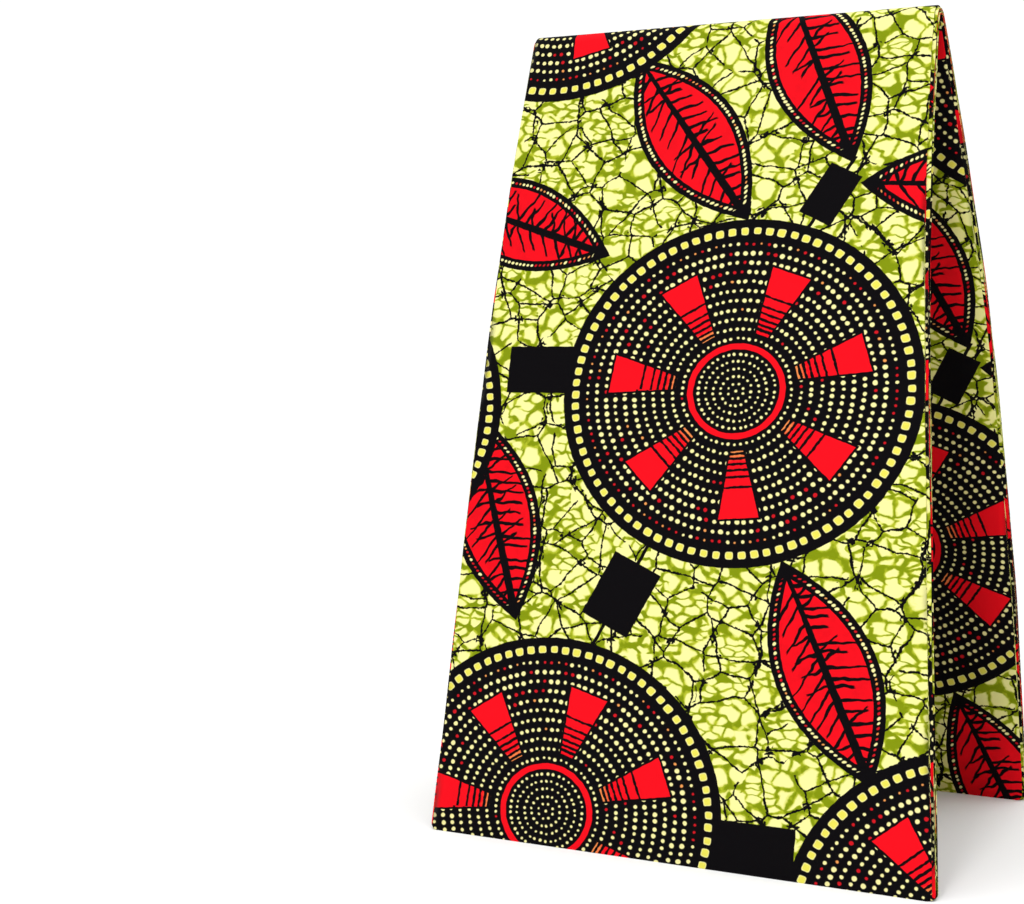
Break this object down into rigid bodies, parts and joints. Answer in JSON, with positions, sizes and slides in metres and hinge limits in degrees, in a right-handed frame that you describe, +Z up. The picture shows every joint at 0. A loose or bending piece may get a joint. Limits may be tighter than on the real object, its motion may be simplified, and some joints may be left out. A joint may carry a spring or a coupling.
{
  "type": "folded length of wax print cloth standing as a tent",
  "caption": "Long strip of folded cotton print cloth, draped over itself into a tall tent with a rounded ridge and flat feet.",
  "frame": {"origin": "middle of the footprint, on the surface that the cloth stands on", "axes": "+Z up, the ridge along X, the front fall faces -Y"},
  "size_m": [0.3404, 0.278, 0.524],
  "materials": {
    "outer_print": "plain-woven cotton with a wax print, matt with a faint calendered sheen",
    "edge_print": "folded edges of the same print, matt",
    "inner_print": "the same print on the inner side of the tent, matt"
  },
  "bodies": {
    "root": {"outer_leaf": "outer_print", "hidden_leaves": "edge_print", "inner_leaf": "inner_print"}
  },
  "joints": []
}
